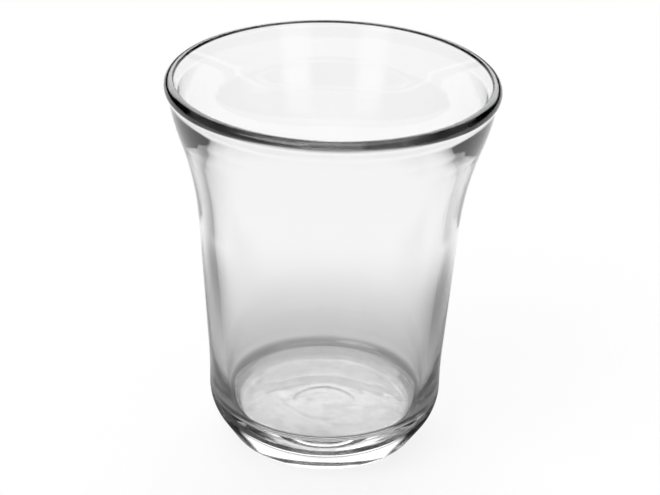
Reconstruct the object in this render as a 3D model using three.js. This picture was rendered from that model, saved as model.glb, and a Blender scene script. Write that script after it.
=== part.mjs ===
// A clear drinking glass with a flared, rounded rim and a thick rounded base.
// The whole glass is one piece: a closed outline turned about the upright axis.
// Millimetres, +Z up, origin at the middle of the ring that the glass stands on.

import * as THREE from "three";

// Overall size
const HEIGHT = 95.5;
const RIM_RADIUS = 40;

// Rim: fire-polished, round on the outside and tight on the inside. Its thickness is the sum.
const RIM_OUTER_ROUND = 1.9;
const RIM_INNER_ROUND = 0.3;

// Root: the slight hollow outside, below the rim, measured from the rim
const ROOT_INSET = 1.04;
const ROOT_DROP = 4.55;
const ROOT_ROUND = 4;

// Lip: where the flare turns steeper, measured from the rim
const LIP_INSET = 1.85;
const LIP_DROP = 9.4;
const LIP_ROUND = 50;

// Wall: upright above the heel, then a slight taper up to the waist, where it flares
const HEEL_RADIUS = 29.1;
const TAPER_HEIGHT = 20;
const TAPER_ROUND = 120;
const WALL_TAPER = 3.55;
const WAIST_DROP = 25.5;
const WAIST_ROUND = 85;

// Heel: a sloping band between the wall and the foot, rounded into both
const HEEL_HEIGHT = 9.6;
const HEEL_ROUND = 13;
const FOOT_INSET = 6.2;
const FOOT_ROUND = 3.5;

// Inside: how thick the wall is, measured across, and the solid floor
const LIP_WALL = 3.3;
const WAIST_WALL = 3.5;
const FLOOR_WALL = 4.2;
const FLOOR_HEIGHT = 10.2;
const FLOOR_ROUND = 3;

// Underside: a flat ring to stand on, a shallow hollow, and a raised mould ring in the hollow
const STANDING_INSET = 6;
const HOLLOW_DEPTH = 0.6;
const MOULD_RING_RADIUS = 8.8;
const MOULD_RING_WIDTH = 1.6;
const MOULD_RING_RELIEF = 0.2;

// Smoothness: steps round the axis, and how far a chord may cut inside its arc
const TURN_STEPS = 72;
const CHORD_ERROR = 0.03;

const glass = new THREE.MeshStandardMaterial({
  name: "clear_glass",
  color: 0xe9eeee,
  roughness: 0.04,
  metalness: 0,
  transparent: true,
  opacity: 0.35,
});

// An arc from one angle to another, with enough points to keep the chord error.
function arc(centre, radius, from, to) {
  const largestStep = 2 * Math.acos(Math.max(0, 1 - CHORD_ERROR / radius));
  const steps = Math.max(2, Math.ceil(Math.abs(to - from) / largestStep));
  const points = [];
  for (let i = 0; i <= steps; i += 1) {
    const angle = from + ((to - from) * i) / steps;
    const spoke = new THREE.Vector2(Math.cos(angle), Math.sin(angle));
    points.push(spoke.multiplyScalar(radius).add(centre));
  }
  return points;
}

// One corner of an outline: the directions of its two sides, and how far its arc reaches along them.
function cornerShape(before, corner, after, round) {
  const back = before.clone().sub(corner).normalize();
  const on = after.clone().sub(corner).normalize();
  const halfAngle = Math.acos(THREE.MathUtils.clamp(back.dot(on), -1, 1)) / 2;
  return { corner, back, on, halfAngle, reach: round / Math.tan(halfAngle) };
}

// The tangent arc that rounds one corner.
function cornerArc({ corner, back, on, halfAngle }, reach) {
  const radius = reach * Math.tan(halfAngle);
  const inward = back.clone().add(on).normalize();
  const centre = corner.clone().addScaledVector(inward, radius / Math.sin(halfAngle));
  const start = corner.clone().addScaledVector(back, reach).sub(centre);
  const end = corner.clone().addScaledVector(on, reach).sub(centre);
  const sweep = Math.atan2(start.cross(end), start.dot(end));
  return arc(centre, radius, start.angle(), start.angle() + sweep);
}

// An open outline whose inner corners are rounded. The first and last points stay sharp.
// Where two arcs would overlap on the side between them, both shrink to share it.
function roundedOutline(corners) {
  const last = corners.length - 1;
  const shapes = corners.slice(1, last).map(({ at, round }, i) => {
    return cornerShape(corners[i].at, at, corners[i + 2].at, round);
  });
  const reaches = [0, ...shapes.map(({ reach }) => reach), 0];
  const shares = corners.slice(1).map(({ at }, i) => {
    return Math.min(1, at.distanceTo(corners[i].at) / (reaches[i] + reaches[i + 1]));
  });
  const arcs = shapes.map((shape, i) => cornerArc(shape, shape.reach * Math.min(shares[i], shares[i + 1])));
  return [corners[0].at, ...arcs.flat(), corners[last].at];
}

// A point of the half section: distance from the axis, height above the table.
function at(radius, height, round = 0) {
  return { at: new THREE.Vector2(radius, height), round };
}

const lipHeight = HEIGHT - LIP_DROP;
const lipRadius = RIM_RADIUS - LIP_INSET;
const waistHeight = HEIGHT - WAIST_DROP;
const waistRadius = HEEL_RADIUS + WALL_TAPER;
const footRadius = HEEL_RADIUS - FOOT_INSET;
const hollowRadius = footRadius - STANDING_INSET;

// The hollow under the base, from the axis outwards: a shallow dome with the mould ring on it.
function undersideOutline() {
  const domeRadius = (hollowRadius ** 2 + HOLLOW_DEPTH ** 2) / (2 * HOLLOW_DEPTH);
  const domeCentre = new THREE.Vector2(0, HOLLOW_DEPTH - domeRadius);
  const angleAt = (radius) => Math.acos(radius / domeRadius);
  const heightAt = (radius) => domeCentre.y + Math.sqrt(domeRadius ** 2 - radius ** 2);
  const ringInner = MOULD_RING_RADIUS - MOULD_RING_WIDTH / 2;
  const ringOuter = MOULD_RING_RADIUS + MOULD_RING_WIDTH / 2;
  const ringCrown = heightAt(MOULD_RING_RADIUS) - MOULD_RING_RELIEF;
  return [
    ...arc(domeCentre, domeRadius, Math.PI / 2, angleAt(ringInner)),
    new THREE.Vector2(MOULD_RING_RADIUS - MOULD_RING_WIDTH / 4, ringCrown),
    new THREE.Vector2(MOULD_RING_RADIUS + MOULD_RING_WIDTH / 4, ringCrown),
    ...arc(domeCentre, domeRadius, angleAt(ringOuter), angleAt(hollowRadius)),
  ];
}

// Where a line from a point touches a circle, on the left (1) or right (-1) of the line to its centre.
function tangentAngle(centre, radius, point, side) {
  const away = point.clone().sub(centre);
  return away.angle() + side * Math.acos(radius / away.length());
}

const root = at(RIM_RADIUS - ROOT_INSET, HEIGHT - ROOT_DROP, ROOT_ROUND);
const innerLip = at(lipRadius - LIP_WALL, lipHeight, LIP_ROUND);

// The rim, from the outside over the top to the inside, tangent to the straight flanks below it.
// Its arcs meet at the widest and highest points, so that those are exact.
function rimOutline() {
  const crestRadius = RIM_RADIUS - RIM_OUTER_ROUND;
  const outerCentre = new THREE.Vector2(crestRadius, HEIGHT - RIM_OUTER_ROUND);
  const innerCentre = new THREE.Vector2(crestRadius, HEIGHT - RIM_INNER_ROUND);
  const outerTouch = tangentAngle(outerCentre, RIM_OUTER_ROUND, root.at, 1) - 2 * Math.PI;
  const innerTouch = tangentAngle(innerCentre, RIM_INNER_ROUND, innerLip.at, -1);
  return [
    ...arc(outerCentre, RIM_OUTER_ROUND, outerTouch, 0),
    ...arc(outerCentre, RIM_OUTER_ROUND, 0, Math.PI / 2).slice(1),
    ...arc(innerCentre, RIM_INNER_ROUND, Math.PI / 2, innerTouch).slice(1),
  ];
}

// The outside, from the standing ring up to the rim.
function outsideOutline(standingEdge, rimFoot) {
  return roundedOutline([
    { at: standingEdge },
    at(footRadius, 0, FOOT_ROUND),
    at(HEEL_RADIUS, HEEL_HEIGHT, HEEL_ROUND),
    at(HEEL_RADIUS, TAPER_HEIGHT, TAPER_ROUND),
    at(waistRadius, waistHeight, WAIST_ROUND),
    at(lipRadius, lipHeight, LIP_ROUND),
    root,
    { at: rimFoot },
  ]);
}

// The inside, from the rim down to the middle of the floor.
function insideOutline(rimFoot) {
  return roundedOutline([
    { at: rimFoot },
    innerLip,
    at(waistRadius - WAIST_WALL, waistHeight, WAIST_ROUND + WAIST_WALL),
    at(HEEL_RADIUS - FLOOR_WALL, FLOOR_HEIGHT, FLOOR_ROUND),
    at(0, FLOOR_HEIGHT),
  ]);
}

// The whole half section runs from the axis under the base, up, over the rim and back to the axis.
function halfSection() {
  const underside = undersideOutline();
  const rim = rimOutline();
  const outside = outsideOutline(underside.at(-1), rim[0]);
  const inside = insideOutline(rim.at(-1));
  return [...underside, ...outside.slice(1, -1), ...rim, ...inside.slice(1)];
}

function turnedGlass() {
  const geometry = new THREE.LatheGeometry(halfSection(), TURN_STEPS);
  geometry.rotateX(Math.PI / 2);
  const body = new THREE.Mesh(geometry, glass);
  body.name = "glass_body";
  return body;
}

const tumbler = new THREE.Group();
tumbler.name = "tumbler";
tumbler.add(turnedGlass());

export default tumbler;
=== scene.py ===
"""A clear glass tumbler on a pale table: the fine glass body, its material, the stage and the camera."""

import math

import bpy
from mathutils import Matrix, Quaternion, Vector


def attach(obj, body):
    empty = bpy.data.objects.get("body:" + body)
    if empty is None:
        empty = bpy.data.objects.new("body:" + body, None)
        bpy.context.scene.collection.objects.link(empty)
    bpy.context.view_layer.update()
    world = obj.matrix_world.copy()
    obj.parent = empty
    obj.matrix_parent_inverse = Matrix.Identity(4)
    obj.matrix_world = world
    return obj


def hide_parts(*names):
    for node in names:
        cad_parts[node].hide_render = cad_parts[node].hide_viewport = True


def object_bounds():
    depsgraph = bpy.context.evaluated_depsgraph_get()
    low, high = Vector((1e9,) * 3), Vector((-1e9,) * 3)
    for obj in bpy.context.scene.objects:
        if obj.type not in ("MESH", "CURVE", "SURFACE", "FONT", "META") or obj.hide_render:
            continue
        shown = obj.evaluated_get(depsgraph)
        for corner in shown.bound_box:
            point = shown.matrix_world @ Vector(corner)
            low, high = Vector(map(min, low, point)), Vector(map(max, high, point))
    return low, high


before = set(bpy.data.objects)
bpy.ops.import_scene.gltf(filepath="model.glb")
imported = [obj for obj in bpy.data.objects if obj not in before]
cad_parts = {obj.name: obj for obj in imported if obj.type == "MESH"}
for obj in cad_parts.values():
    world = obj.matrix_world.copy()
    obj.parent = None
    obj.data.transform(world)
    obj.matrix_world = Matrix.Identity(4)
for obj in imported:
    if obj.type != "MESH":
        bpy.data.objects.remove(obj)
cad_low, cad_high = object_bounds()

# Names in the frame
NODE = "glass_body"
BODY = "root"

# Sizes of the glass, in metres. Height and rim come from the frame.
MM = 0.001
HEIGHT = cad_high.z
RIM_RADIUS = cad_high.x

# Rim, round outside and tight inside, and the slight hollow outside below it
RIM_OUTER_ROUND = 1.9 * MM
RIM_INNER_ROUND = 0.3 * MM
ROOT_INSET = 1.04 * MM
ROOT_DROP = 4.55 * MM
ROOT_ROUND = 4 * MM

# Lip: where the flare turns steeper, measured from the rim
LIP_INSET = 1.85 * MM
LIP_DROP = 9.4 * MM
LIP_ROUND = 50 * MM

# Wall: upright above the heel, then a slight taper up to the waist, where it flares
HEEL_RADIUS = 29.1 * MM
TAPER_HEIGHT = 20 * MM
TAPER_ROUND = 120 * MM
WALL_TAPER = 3.55 * MM
WAIST_DROP = 25.5 * MM
WAIST_ROUND = 85 * MM

# Heel: a sloping band between the wall and the foot
HEEL_HEIGHT = 9.6 * MM
HEEL_ROUND = 13 * MM
FOOT_INSET = 6.2 * MM
FOOT_ROUND = 3.5 * MM

# Inside: how thick the wall is, measured across, and the solid floor
LIP_WALL = 3.3 * MM
WAIST_WALL = 3.5 * MM
FLOOR_WALL = 4.2 * MM
FLOOR_HEIGHT = 10.2 * MM
FLOOR_ROUND = 3 * MM

# Underside: a flat ring to stand on, a shallow hollow, and a low mould ring in the hollow
STANDING_INSET = 6 * MM
HOLLOW_DEPTH = 0.6 * MM
MOULD_RING_RADIUS = 8.8 * MM
MOULD_RING_WIDTH = 1.6 * MM
MOULD_RING_CROWN = 0.4 * MM
MOULD_RING_RELIEF = 0.1 * MM

# Places that follow from the sizes
LIP_HEIGHT = HEIGHT - LIP_DROP
LIP_RADIUS = RIM_RADIUS - LIP_INSET
WAIST_HEIGHT = HEIGHT - WAIST_DROP
WAIST_RADIUS = HEEL_RADIUS + WALL_TAPER
FOOT_RADIUS = HEEL_RADIUS - FOOT_INSET
HOLLOW_RADIUS = FOOT_RADIUS - STANDING_INSET
ROOT = Vector((RIM_RADIUS - ROOT_INSET, HEIGHT - ROOT_DROP))
INNER_LIP = Vector((LIP_RADIUS - LIP_WALL, LIP_HEIGHT))

# Fineness of the turned mesh
TURN_STEPS = 320
ARC_STEP = math.radians(4)
LONGEST_STEP = 0.75 * MM
MERGE_DISTANCE = 0.001 * MM

# The glass: refraction, and how much light it takes per metre
GLASS_IOR = 1.52
GLASS_ABSORPTION = 12.0

# Faint waves of a moulded wall, drawn out along its height
WAVES = {"Scale": 70.0, "Detail": 2.0, "Roughness": 0.45}
WAVE_STRETCH = (1, 1, 0.35)
WAVE_STRENGTH = 0.025
WAVE_DEPTH = 2 * MM

# Faint smudges: the part of the noise that shows, and how rough they get
SMUDGES = {"Scale": 110.0, "Detail": 5.0, "Roughness": 0.65}
SMUDGE_RANGE = (0.52, 0.75)
SMUDGE_ROUGHNESS = 0.05

# Mottling of the underside, which ends between two heights
MOTTLE = {"Scale": 240.0, "Detail": 5.0, "Roughness": 0.6}
MOTTLE_RANGE = (0.42, 0.66)
MOTTLE_DARK = 0.3
MOTTLE_TOP = (0.7 * MM, 1.2 * MM)

# The studio: soft panels of light round the glass and one overhead, in degrees.
# Azimuth is measured from the camera's side, low and high are above the table.
PANELS = [
    {"azimuth": -50, "half_width": 20, "low": 44, "high": 62, "level": 4.6},
    {"azimuth": 180, "half_width": 32, "low": 20, "high": 44, "level": 3.8},
    {"azimuth": -30, "half_width": 3, "low": 10, "high": 14, "level": 1.0},
    {"azimuth": 30, "half_width": 3, "low": 10, "high": 14, "level": 1.0},
]
PANEL_EDGE = 12
OVERHEAD_LOW = 68
OVERHEAD_LEVEL = 1.8
STUDIO_DARK = 0.004

# The table: its colour, and the share of plain white that the camera and the glass see of it
TABLE_SIZE = 60
TABLE_GAP = 0.02 * MM
TABLE_WHITE = 0.86
TABLE_GLOW = 0.85
TABLE_GLOW_IN_GLASS = 0.95

# Painted shade on the table: two soft grey patches behind the glass to its left and right, that only the
# glass shows
SIDE_SHADE_DARK = 0.7
SIDE_SHADE_SHIFT = 0.006
SIDE_SHADE_INNER = (0.025, 0.08)
SIDE_SHADE_OUTER = (0.085, 0.112)
SIDE_SHADE_NEAR = (-0.02, 0.03)
SIDE_SHADE_FAR = (0.055, 0.1)

# The shade under the glass and the darker ring round its foot, weaker behind, that only the glass shows
CONTACT_DARK = 0.5
CONTACT_REACH = (0.03, 0.105)
FOOT_SHADE_DARK = 0.97
FOOT_SHADE_INNER = (0.022, 0.026)
FOOT_SHADE_OUTER = (0.034, 0.048)
FOOT_SHADE_BACK = (0.0, 0.03)
FOOT_SHADE_BACK_LOSS = 0.4

# The camera of the photograph, in pixels, millimetres of sensor, metres and radians
IMAGE_WIDTH = 660
SENSOR_WIDTH = 36
FOCAL_PIXELS = 2000
CAMERA_ELEVATION = math.radians(26.92)
CAMERA_DISTANCE = 0.4936
CAMERA_ROLL = math.radians(1.674)
CAMERA_CLIP = 0.01
SHIFT_RIGHT_PIXELS = 1.85
SHIFT_UP_PIXELS = 9.4

# How often light may bounce inside the glass
LIGHT_BOUNCES = 64

BLACK = (0, 0, 0, 1)
WHITE = (1, 1, 1, 1)


class Value:
    """A shader socket that takes part in Python arithmetic."""

    def __init__(self, sheet, socket):
        self.sheet = sheet
        self.socket = socket

    def maths(self, operation, *values):
        return self.sheet.add("ShaderNodeMath", {"operation": operation}, dict(enumerate(values)))

    def __add__(self, other):
        return self.maths("ADD", self, other)

    __radd__ = __add__

    def __sub__(self, other):
        return self.maths("SUBTRACT", self, other)

    def __rsub__(self, other):
        return self.maths("SUBTRACT", other, self)

    def __mul__(self, other):
        return self.maths("MULTIPLY", self, other)

    __rmul__ = __mul__

    def smooth(self, low, high):
        """0 below low, 1 above high, and a soft step between them."""
        settings = {"interpolation_type": "SMOOTHSTEP"}
        return self.sheet.add("ShaderNodeMapRange", settings, {0: self, 1: low, 2: high})


class Sheet:
    """The node tree of one material or of the world."""

    def __init__(self, owner):
        owner.use_nodes = True
        self.tree = owner.node_tree
        self.tree.nodes.clear()

    def add(self, kind, settings=None, sockets=None, output=0):
        """Adds a node, sets it up, feeds its sockets and returns one of its outputs."""
        node = self.tree.nodes.new(kind)
        for name, setting in (settings or {}).items():
            setattr(node, name, setting)
        for name, value in (sockets or {}).items():
            if isinstance(value, Value):
                self.tree.links.new(value.socket, node.inputs[name])
            else:
                node.inputs[name].default_value = value
        return Value(self, node.outputs[output] if node.outputs else None)


def arc(centre, radius, start, end):
    """Points on an arc in the half section, both ends included."""
    sweep = abs(end - start)
    steps = max(2, math.ceil(sweep / ARC_STEP), math.ceil(radius * sweep / LONGEST_STEP))
    angles = [start + (end - start) * i / steps for i in range(steps + 1)]
    return [centre + radius * Vector((math.cos(a), math.sin(a))) for a in angles]


def rounded_corner(before, corner, after, radius):
    """The arc that rounds a corner of the half section."""
    back = (before - corner).normalized()
    on = (after - corner).normalized()
    half = back.angle(on) / 2
    centre = corner + (back + on).normalized() * radius / math.sin(half)
    start = corner + back * radius / math.tan(half) - centre
    end = corner + on * radius / math.tan(half) - centre
    first = math.atan2(start.y, start.x)
    turn = math.atan2(start.x * end.y - start.y * end.x, start.dot(end))
    return arc(centre, radius, first, first + turn)


def rounded_outline(corners):
    """An open outline. Each corner but the first and last is rounded by its own radius."""
    outline = [corners[0][0]]
    for (before, _), (corner, radius), (after, _) in zip(corners, corners[1:], corners[2:]):
        outline += rounded_corner(before, corner, after, radius)
    return outline + [corners[-1][0]]


def at(radius, height, rounding=0.0):
    return Vector((radius, height)), rounding


def tangent_angle(centre, radius, point, side):
    """Where a line from the point touches the circle, on its side +1 or -1."""
    away = point - centre
    return math.atan2(away.y, away.x) + side * math.acos(radius / away.length)


def underside_outline():
    """The hollow under the base, from the axis outwards: a shallow dome with the mould ring on it."""
    dome_radius = (HOLLOW_RADIUS**2 + HOLLOW_DEPTH**2) / (2 * HOLLOW_DEPTH)
    dome_centre = Vector((0, HOLLOW_DEPTH - dome_radius))
    ring_inner = math.acos((MOULD_RING_RADIUS - MOULD_RING_WIDTH / 2) / dome_radius)
    ring_outer = math.acos((MOULD_RING_RADIUS + MOULD_RING_WIDTH / 2) / dome_radius)
    hollow_edge = math.acos(HOLLOW_RADIUS / dome_radius)
    ring_place = dome_centre.y + math.sqrt(dome_radius**2 - MOULD_RING_RADIUS**2)
    crown = [
        Vector((MOULD_RING_RADIUS + side * MOULD_RING_CROWN / 2, ring_place - MOULD_RING_RELIEF))
        for side in (-1, 1)
    ]
    inner_dome = arc(dome_centre, dome_radius, math.pi / 2, ring_inner)
    outer_dome = arc(dome_centre, dome_radius, ring_outer, hollow_edge)
    return inner_dome + crown + outer_dome


def rim_outline():
    """The rim from the outside over the top to the inside, tangent to the flanks below it."""
    crest_radius = RIM_RADIUS - RIM_OUTER_ROUND
    outer_centre = Vector((crest_radius, HEIGHT - RIM_OUTER_ROUND))
    inner_centre = Vector((crest_radius, HEIGHT - RIM_INNER_ROUND))
    outer_touch = tangent_angle(outer_centre, RIM_OUTER_ROUND, ROOT, 1)
    inner_touch = tangent_angle(inner_centre, RIM_INNER_ROUND, INNER_LIP, -1) + 2 * math.pi
    rim = arc(outer_centre, RIM_OUTER_ROUND, outer_touch, 0)
    rim += arc(outer_centre, RIM_OUTER_ROUND, 0, math.pi / 2)[1:]
    rim += arc(inner_centre, RIM_INNER_ROUND, math.pi / 2, inner_touch)[1:]
    return rim


def half_section():
    """The outline of the glass from the axis under the base, up, over the rim and back to the axis."""
    underside = underside_outline()
    rim = rim_outline()
    outside = rounded_outline([
        (underside[-1], 0),
        at(FOOT_RADIUS, 0, FOOT_ROUND),
        at(HEEL_RADIUS, HEEL_HEIGHT, HEEL_ROUND),
        at(HEEL_RADIUS, TAPER_HEIGHT, TAPER_ROUND),
        at(WAIST_RADIUS, WAIST_HEIGHT, WAIST_ROUND),
        at(LIP_RADIUS, LIP_HEIGHT, LIP_ROUND),
        (ROOT, ROOT_ROUND),
        (rim[0], 0),
    ])
    inside = rounded_outline([
        (rim[-1], 0),
        (INNER_LIP, LIP_ROUND),
        at(WAIST_RADIUS - WAIST_WALL, WAIST_HEIGHT, WAIST_ROUND + WAIST_WALL),
        at(HEEL_RADIUS - FLOOR_WALL, FLOOR_HEIGHT, FLOOR_ROUND),
        at(0, FLOOR_HEIGHT),
    ])
    return underside + outside[1:-1] + rim + inside[1:]


def turned(name, outline):
    """A closed body: one vertex is extruded along the outline, and the outline is spun about the axis."""
    bpy.ops.object.select_all(action="DESELECT")
    bpy.ops.mesh.primitive_plane_add(size=MM, location=(0, 0, 0))
    piece = bpy.context.object
    piece.name = name
    bpy.ops.object.mode_set(mode="EDIT")
    bpy.ops.mesh.merge(type="CENTER")
    places = [Vector((p.x, 0, p.y)) for p in outline]
    bpy.ops.transform.translate(value=places[0])
    for before, after in zip(places, places[1:]):
        bpy.ops.mesh.extrude_region_move(TRANSFORM_OT_translate={"value": after - before})
    bpy.ops.mesh.select_all(action="SELECT")
    bpy.ops.mesh.spin(steps=TURN_STEPS, angle=2 * math.pi, center=(0, 0, 0), axis=(0, 0, 1))
    bpy.ops.mesh.select_all(action="SELECT")
    bpy.ops.mesh.remove_doubles(threshold=MERGE_DISTANCE)
    bpy.ops.mesh.normals_make_consistent(inside=False)
    bpy.ops.mesh.faces_shade_smooth()
    bpy.ops.object.mode_set(mode="OBJECT")
    return piece


def clear_glass():
    """Colourless glass, faintly wavy and smudged, with a mottled underside."""
    material = bpy.data.materials.new("clear_glass")
    sheet = Sheet(material)
    place = sheet.add("ShaderNodeTexCoord", None, None, "Object")
    height = sheet.add("ShaderNodeSeparateXYZ", None, {0: place}, "Z")
    along = sheet.add("ShaderNodeMapping", None, {0: place, "Scale": WAVE_STRETCH})
    waves = sheet.add("ShaderNodeTexNoise", None, {"Vector": along, **WAVES})
    smudges = sheet.add("ShaderNodeTexNoise", None, {"Vector": place, **SMUDGES})
    mottle = sheet.add("ShaderNodeTexNoise", None, {"Vector": place, **MOTTLE})
    under = 1 - height.smooth(*MOTTLE_TOP)
    wavy = {"Height": waves, "Strength": WAVE_STRENGTH, "Distance": WAVE_DEPTH}
    surface = sheet.add("ShaderNodeBsdfPrincipled", None, {
        "Base Color": 1 - mottle.smooth(*MOTTLE_RANGE) * under * MOTTLE_DARK,
        "Roughness": smudges.smooth(*SMUDGE_RANGE) * SMUDGE_ROUGHNESS,
        "IOR": GLASS_IOR,
        "Transmission Weight": 1.0,
        "Normal": sheet.add("ShaderNodeBump", None, wavy),
    })
    depth = sheet.add("ShaderNodeVolumeAbsorption", None, {"Color": BLACK, "Density": GLASS_ABSORPTION})
    sheet.add("ShaderNodeOutputMaterial", None, {"Surface": surface, "Volume": depth})
    return material


def glass_body():
    glass = turned("tumbler_glass", half_section())
    glass.data.materials.append(clear_glass())
    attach(glass, BODY)
    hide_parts(NODE)


def shade_in_glass(sheet):
    """How bright each place on the table is in the glass, with its painted shade: two soft grey patches
    behind it to the left and right, a wide shade under it and a darker ring round its foot.
    """
    place = sheet.add("ShaderNodeTexCoord", None, None, "Object")
    across = sheet.add("ShaderNodeSeparateXYZ", None, {0: place}, "X")
    behind = sheet.add("ShaderNodeSeparateXYZ", None, {0: place}, "Y")
    away = sheet.add("ShaderNodeVectorMath", {"operation": "LENGTH"}, {0: place}, "Value")
    # Painted shade: two soft grey patches on the table behind the glass to its left and right
    beside = across.maths("ABSOLUTE", across + SIDE_SHADE_SHIFT)
    width = beside.smooth(*SIDE_SHADE_INNER) - beside.smooth(*SIDE_SHADE_OUTER)
    side_shades = width * (behind.smooth(*SIDE_SHADE_NEAR) - behind.smooth(*SIDE_SHADE_FAR))
    contact = 1 - away.smooth(*CONTACT_REACH)
    ring = away.smooth(*FOOT_SHADE_INNER) - away.smooth(*FOOT_SHADE_OUTER)
    foot = ring * (1 - behind.smooth(*FOOT_SHADE_BACK) * FOOT_SHADE_BACK_LOSS)
    return (1 - side_shades * SIDE_SHADE_DARK) * (1 - contact * CONTACT_DARK) * (1 - foot * FOOT_SHADE_DARK)


def pale_paper():
    """Nearly white to the camera, with a faint shadow of the glass, and with painted shade where the glass
    shows it.
    """
    material = bpy.data.materials.new("table_white")
    sheet = Sheet(material)
    seen = sheet.add("ShaderNodeLightPath", None, None, "Is Camera Ray")
    mirrored = sheet.add("ShaderNodeLightPath", None, None, "Is Glossy Ray")
    through = sheet.add("ShaderNodeLightPath", None, None, "Is Transmission Ray")
    in_glass = mirrored.maths("MAXIMUM", mirrored, through)
    # Rays in the glass see the table's glow with the painted shade on it
    level = seen + in_glass * shade_in_glass(sheet)
    glow = seen * TABLE_GLOW + in_glass * TABLE_GLOW_IN_GLASS
    paper = sheet.add("ShaderNodeBsdfDiffuse", None, {"Color": (TABLE_WHITE, TABLE_WHITE, TABLE_WHITE, 1)})
    white = sheet.add("ShaderNodeEmission", None, {"Color": level, "Strength": 1.0})
    surface = sheet.add("ShaderNodeMixShader", None, {0: glow, 1: paper, 2: white})
    sheet.add("ShaderNodeOutputMaterial", None, {"Surface": surface})
    return material


def table():
    bpy.ops.object.select_all(action="DESELECT")
    bpy.ops.mesh.primitive_plane_add(size=TABLE_SIZE, location=(0, 0, -TABLE_GAP))
    floor = bpy.context.object
    floor.name = "table"
    floor.data.materials.append(pale_paper())


def rise(degrees):
    """How high a place on a sky of radius 1 is, from its angle above the table."""
    return math.sin(math.radians(degrees))


def panel(sheet, height, ahead, azimuth, half_width, low, high, level):
    """The light of one panel towards a place on the sky."""
    turn = math.radians(azimuth)
    towards = (math.sin(turn), -math.cos(turn), 0)
    facing = sheet.add("ShaderNodeVectorMath", {"operation": "DOT_PRODUCT"}, {0: ahead, 1: towards}, "Value")
    edge = math.cos(math.radians(half_width + PANEL_EDGE))
    across = facing.smooth(edge, math.cos(math.radians(half_width)))
    above = height.smooth(rise(low - PANEL_EDGE), rise(low))
    below = 1 - height.smooth(rise(high), rise(high + PANEL_EDGE))
    return across * above * below * level


def studio():
    """A dark room with soft panels of light. The camera itself sees white."""
    world = bpy.data.worlds.new("studio")
    bpy.context.scene.world = world
    sheet = Sheet(world)
    place = sheet.add("ShaderNodeTexCoord", None, None, "Generated")
    height = sheet.add("ShaderNodeSeparateXYZ", None, {0: place}, "Z")
    flat = sheet.add("ShaderNodeVectorMath", {"operation": "MULTIPLY"}, {0: place, 1: (1, 1, 0)})
    ahead = sheet.add("ShaderNodeVectorMath", {"operation": "NORMALIZE"}, {0: flat})
    panels = sum(panel(sheet, height, ahead, **light) for light in PANELS)
    overhead = height.smooth(rise(OVERHEAD_LOW - PANEL_EDGE), rise(OVERHEAD_LOW)) * OVERHEAD_LEVEL
    level = panels + overhead + STUDIO_DARK
    room = sheet.add("ShaderNodeBackground", None, {"Color": WHITE, "Strength": level})
    white = sheet.add("ShaderNodeBackground", None, {"Color": WHITE, "Strength": 1.0})
    seen = sheet.add("ShaderNodeLightPath", None, None, "Is Camera Ray")
    surface = sheet.add("ShaderNodeMixShader", None, {0: seen, 1: room, 2: white})
    sheet.add("ShaderNodeOutputWorld", None, {"Surface": surface})


def photo_camera():
    data = bpy.data.cameras.new("camera")
    data.sensor_width = SENSOR_WIDTH
    data.lens = FOCAL_PIXELS * SENSOR_WIDTH / IMAGE_WIDTH
    data.shift_x = SHIFT_RIGHT_PIXELS / IMAGE_WIDTH
    data.shift_y = SHIFT_UP_PIXELS / IMAGE_WIDTH
    data.clip_start = CAMERA_CLIP
    camera = bpy.data.objects.new("camera", data)
    bpy.context.collection.objects.link(camera)
    back = Vector((0, -math.cos(CAMERA_ELEVATION), math.sin(CAMERA_ELEVATION)))
    camera.location = Vector((0, 0, HEIGHT / 2)) + back * CAMERA_DISTANCE
    camera.rotation_mode = "QUATERNION"
    camera.rotation_quaternion = (-back).to_track_quat("-Z", "Y") @ Quaternion((0, 0, 1), CAMERA_ROLL)
    bpy.context.scene.camera = camera


def light_settings():
    """Plain colours, and bounces enough for light that stays long in the rim and the base."""
    scene = bpy.context.scene
    scene.view_settings.view_transform = "Standard"
    scene.cycles.max_bounces = LIGHT_BOUNCES
    scene.cycles.transmission_bounces = LIGHT_BOUNCES
    scene.cycles.glossy_bounces = LIGHT_BOUNCES
    scene.cycles.sample_clamp_indirect = 0


light_settings()
glass_body()
table()
studio()
photo_camera()
